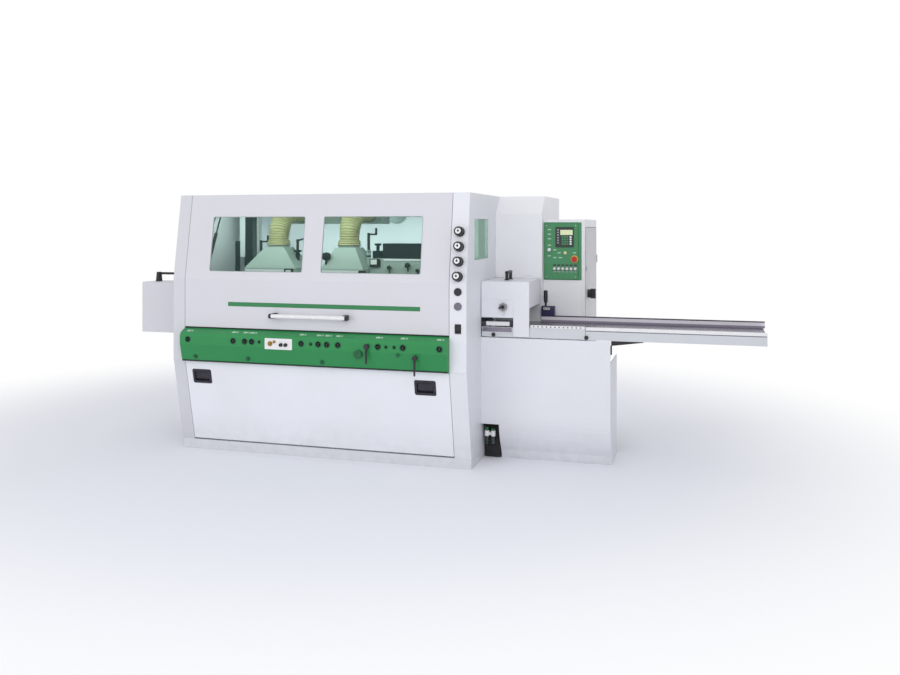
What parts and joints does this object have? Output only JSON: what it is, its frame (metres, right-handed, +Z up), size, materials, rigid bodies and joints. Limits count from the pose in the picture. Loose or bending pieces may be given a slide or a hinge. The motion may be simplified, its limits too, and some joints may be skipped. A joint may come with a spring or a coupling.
{
  "type": "four sided moulder",
  "caption": "Four sided moulder in a closed cabinet with a lifting windowed hood, a hinged front flap, a green control belt, a long infeed table with guard and a control cabinet.",
  "frame": {"origin": "on the floor under the middle of the main enclosure", "axes": "+Z up, +X along the machine towards the infeed, -Y towards the operator's side"},
  "size_m": [4.392, 1.723, 1.75],
  "materials": {
    "grey_paint": "semi-gloss powder coat",
    "pale_paint": "semi-gloss powder coat",
    "green_paint": "semi-gloss powder coat",
    "panel_green": "printed foil on metal",
    "navy_paint": "semi-gloss enamel",
    "black_plastic": "moulded, fine grain",
    "table_steel": "ground and polished",
    "bright_steel": "turned",
    "sheet_steel": "grey enamel on sheet",
    "hose_plastic": "ribbed, slightly translucent",
    "tinted_glass": "clear with a green tint",
    "white_plastic": "smooth",
    "red_plastic": "smooth"
  },
  "bodies": {
    "frame": {"base_frame": "pale_paint", "machine_table": "table_steel", "left_cheek": "pale_paint", "right_cheek": "pale_paint", "rear_housing": "grey_paint", "control_strip": "green_paint", "infeed_console": "pale_paint", "control_cabinet": "grey_paint", "operator_panel": "panel_green", "support_columns": "navy_paint", "suction_fittings": "sheet_steel", "suction_hoses": "hose_plastic", "spindle_motors": "navy_paint", "side_window_pane": "tinted_glass", "adjuster_spindles": "bright_steel"},
    "hood": {"hood_shell": "grey_paint", "window_panes": "tinted_glass", "hood_handle": "white_plastic"},
    "strut_barrels": {"strut_cylinders": "black_plastic"},
    "strut_pistons": {"strut_rods": "bright_steel"},
    "flap": {"flap_panel": "pale_paint", "latch_trays": "black_plastic"},
    "latch_left": {"latch_paddle_left": "black_plastic"},
    "latch_right": {"latch_paddle_right": "black_plastic"},
    "dial_1": {"dial_knob_1": "black_plastic"},
    "dial_2": {"dial_knob_2": "black_plastic"},
    "dial_3": {"dial_knob_3": "black_plastic"},
    "dial_4": {"dial_knob_4": "black_plastic"},
    "rocker": {"rocker_switch": "black_plastic"},
    "lever_left": {"clamp_lever_left": "black_plastic"},
    "lever_right": {"clamp_lever_right": "black_plastic"},
    "guard": {"guard_box": "grey_paint", "guard_handle": "black_plastic"},
    "guard_front": {"guard_plate": "grey_paint"},
    "guard_clamp": {"guard_knob": "bright_steel"},
    "table": {"infeed_table": "table_steel", "table_extension": "table_steel"},
    "fence": {"infeed_fence": "table_steel", "fence_setter": "navy_paint"},
    "fence_handle": {"fence_lever": "black_plastic"},
    "stop": {"stop_button": "red_plastic"},
    "main_switch_grip": {"main_switch": "black_plastic"},
    "feed": {"feed_beam": "sheet_steel", "feed_motor": "navy_paint"},
    "roller_front": {"feed_roller_front": "bright_steel"},
    "roller_rear": {"feed_roller_rear": "bright_steel"},
    "spindle_bottom": {"bottom_spindle": "bright_steel"},
    "spindle_right": {"right_spindle": "bright_steel"},
    "spindle_left": {"left_spindle": "bright_steel"},
    "spindle_top": {"top_spindle": "bright_steel"},
    "outfeed_cover": {"outfeed_guard": "grey_paint"},
    "outfeed_handle": {"outfeed_lever": "black_plastic"},
    "crank_l": {"crank_left": "black_plastic"},
    "crank_r": {"crank_right": "black_plastic"},
    "button_1": {"push_button_1": "white_plastic"},
    "button_2": {"push_button_2": "white_plastic"},
    "button_3": {"push_button_3": "white_plastic"},
    "button_4": {"push_button_4": "white_plastic"},
    "button_5": {"push_button_5": "white_plastic"},
    "button_6": {"push_button_6": "white_plastic"}
  },
  "joints": [
    {"name": "hood_lift", "type": "hinge", "parent": "frame", "child": "hood", "pos_m": [0, -0.39, 1.744], "axis": [-1, 0, 0], "range_deg": [0, 72]},
    {"name": "strut_swing", "type": "hinge", "parent": "frame", "child": "strut_barrels", "pos_m": [0, -0.7, 1.23], "axis": [1, 0, 0], "range_deg": [0, 4.6]},
    {"name": "strut_slide", "type": "slide", "parent": "strut_barrels", "child": "strut_pistons", "axis": [0, 0.4472, 0.8944], "range_m": [0, 0.108]},
    {"name": "flap_tilt", "type": "hinge", "parent": "frame", "child": "flap", "pos_m": [0, -0.71698, 0.09041], "axis": [1, 0, 0], "range_deg": [0, 75]},
    {"name": "latch_pull_left", "type": "hinge", "parent": "flap", "child": "latch_left", "pos_m": [-0.828, -0.82091, 0.54678], "axis": [-1, 0, 0], "range_deg": [0, 40], "stiffness_Nm_per_rad": 0.3, "springref_deg": -8.59},
    {"name": "latch_pull_right", "type": "hinge", "parent": "flap", "child": "latch_right", "pos_m": [0.76, -0.82091, 0.54678], "axis": [-1, 0, 0], "range_deg": [0, 40], "stiffness_Nm_per_rad": 0.3, "springref_deg": -8.59},
    {"name": "dial_turn_1", "type": "hinge", "parent": "frame", "child": "dial_1", "pos_m": [0.98, -0.83999, 1.22344], "axis": [0, -0.9872, 0.1593], "continuous": true},
    {"name": "dial_turn_2", "type": "hinge", "parent": "frame", "child": "dial_2", "pos_m": [0.98, -0.82501, 1.31624], "axis": [0, -0.9872, 0.1593], "continuous": true},
    {"name": "dial_turn_3", "type": "hinge", "parent": "frame", "child": "dial_3", "pos_m": [0.98, -0.81003, 1.40904], "axis": [0, -0.9872, 0.1593], "continuous": true},
    {"name": "dial_turn_4", "type": "hinge", "parent": "frame", "child": "dial_4", "pos_m": [0.98, -0.79505, 1.50184], "axis": [0, -0.9872, 0.1593], "continuous": true},
    {"name": "rocker_tip", "type": "hinge", "parent": "frame", "child": "rocker", "pos_m": [0.98, -0.823, 0.9], "axis": [1, 0, 0], "range_deg": [-8, 8]},
    {"name": "clamp_left", "type": "hinge", "parent": "frame", "child": "lever_left", "pos_m": [0.402, -0.907, 0.781], "axis": [0, -1, 0], "range_deg": [0, 90]},
    {"name": "clamp_right", "type": "hinge", "parent": "frame", "child": "lever_right", "pos_m": [0.722, -0.907, 0.719], "axis": [0, -1, 0], "range_deg": [0, 90]},
    {"name": "guard_lift", "type": "hinge", "parent": "frame", "child": "guard", "pos_m": [1.1975, -0.057, 1.179], "axis": [-1, 0, 0], "range_deg": [0, 65]},
    {"name": "guard_front_slide", "type": "slide", "parent": "guard", "child": "guard_front", "axis": [0, 0, 1], "range_m": [0, 0.05]},
    {"name": "guard_clamp_turn", "type": "hinge", "parent": "guard", "child": "guard_clamp", "pos_m": [1.188, -0.485, 1.012], "axis": [0, 1, 0], "continuous": true},
    {"name": "table_height", "type": "slide", "parent": "frame", "child": "table", "axis": [0, 0, 1], "range_m": [0, 0.008]},
    {"name": "fence_set", "type": "slide", "parent": "table", "child": "fence", "axis": [0, -1, 0], "range_m": [0, 0.01]},
    {"name": "fence_lever_tilt", "type": "hinge", "parent": "fence", "child": "fence_handle", "pos_m": [1.394, -0.0645, 0.975], "axis": [0, 1, 0], "range_deg": [0, 45]},
    {"name": "stop_press", "type": "slide", "parent": "frame", "child": "stop", "axis": [0, 1, 0], "range_m": [0, 0.004], "stiffness_N_per_m": 900, "springref_m": -0.001},
    {"name": "main_switch_turn", "type": "hinge", "parent": "frame", "child": "main_switch_grip", "pos_m": [1.655, 0.17, 1.06], "axis": [1, 0, 0], "range_deg": [0, 90]},
    {"name": "feed_height", "type": "slide", "parent": "frame", "child": "feed", "axis": [0, 0, 1], "range_m": [0, 0.05]},
    {"name": "roller_front_turn", "type": "hinge", "parent": "feed", "child": "roller_front", "pos_m": [0.85, -0.265, 0.99], "axis": [0, 1, 0], "continuous": true},
    {"name": "roller_rear_turn", "type": "hinge", "parent": "feed", "child": "roller_rear", "pos_m": [0.285, -0.265, 0.99], "axis": [0, 1, 0], "continuous": true},
    {"name": "bottom_spindle_turn", "type": "hinge", "parent": "frame", "child": "spindle_bottom", "pos_m": [0.7, -0.3, 0.832], "axis": [0, 1, 0], "continuous": true},
    {"name": "right_spindle_turn", "type": "hinge", "parent": "frame", "child": "spindle_right", "pos_m": [0.35, -0.027, 0.95], "axis": [0, 0, 1], "continuous": true},
    {"name": "left_spindle_turn", "type": "hinge", "parent": "frame", "child": "spindle_left", "pos_m": [0.03, -0.32, 0.95], "axis": [0, 0, 1], "continuous": true},
    {"name": "top_spindle_turn", "type": "hinge", "parent": "frame", "child": "spindle_top", "pos_m": [-0.52, -0.3, 0.99], "axis": [0, 1, 0], "continuous": true},
    {"name": "outfeed_swing", "type": "hinge", "parent": "frame", "child": "outfeed_cover", "pos_m": [-1.049, -0.455, 0.9], "axis": [0, 0, 1], "range_deg": [0, 90]},
    {"name": "outfeed_lever_turn", "type": "hinge", "parent": "outfeed_cover", "child": "outfeed_handle", "pos_m": [-1.493, -0.345, 1.124], "axis": [0, 0, 1], "range_deg": [0, 90]},
    {"name": "crank_left_turn", "type": "hinge", "parent": "frame", "child": "crank_l", "pos_m": [-0.666, -0.3, 1.335], "axis": [0, 0, 1], "continuous": true},
    {"name": "crank_right_turn", "type": "hinge", "parent": "frame", "child": "crank_r", "pos_m": [0.176, -0.3, 1.37], "axis": [0, 0, 1], "continuous": true},
    {"name": "button_press_1", "type": "slide", "parent": "frame", "child": "button_1", "axis": [0, 1, 0], "range_m": [0, 0.004], "stiffness_N_per_m": 600, "springref_m": -0.0005},
    {"name": "button_press_2", "type": "slide", "parent": "frame", "child": "button_2", "axis": [0, 1, 0], "range_m": [0, 0.004], "stiffness_N_per_m": 600, "springref_m": -0.0005},
    {"name": "button_press_3", "type": "slide", "parent": "frame", "child": "button_3", "axis": [0, 1, 0], "range_m": [0, 0.004], "stiffness_N_per_m": 600, "springref_m": -0.0005},
    {"name": "button_press_4", "type": "slide", "parent": "frame", "child": "button_4", "axis": [0, 1, 0], "range_m": [0, 0.004], "stiffness_N_per_m": 600, "springref_m": -0.0005},
    {"name": "button_press_5", "type": "slide", "parent": "frame", "child": "button_5", "axis": [0, 1, 0], "range_m": [0, 0.004], "stiffness_N_per_m": 600, "springref_m": -0.0005},
    {"name": "button_press_6", "type": "slide", "parent": "frame", "child": "button_6", "axis": [0, 1, 0], "range_m": [0, 0.004], "stiffness_N_per_m": 600, "springref_m": -0.0005}
  ],
  "couplings": [
    {"joint": "strut_swing", "follows": "hood_lift", "ratio": 0.06072},
    {"joint": "strut_slide", "follows": "hood_lift", "m_per_rad": 0.08354},
    {"joint": "roller_rear_turn", "follows": "roller_front_turn", "ratio": 1}
  ]
}
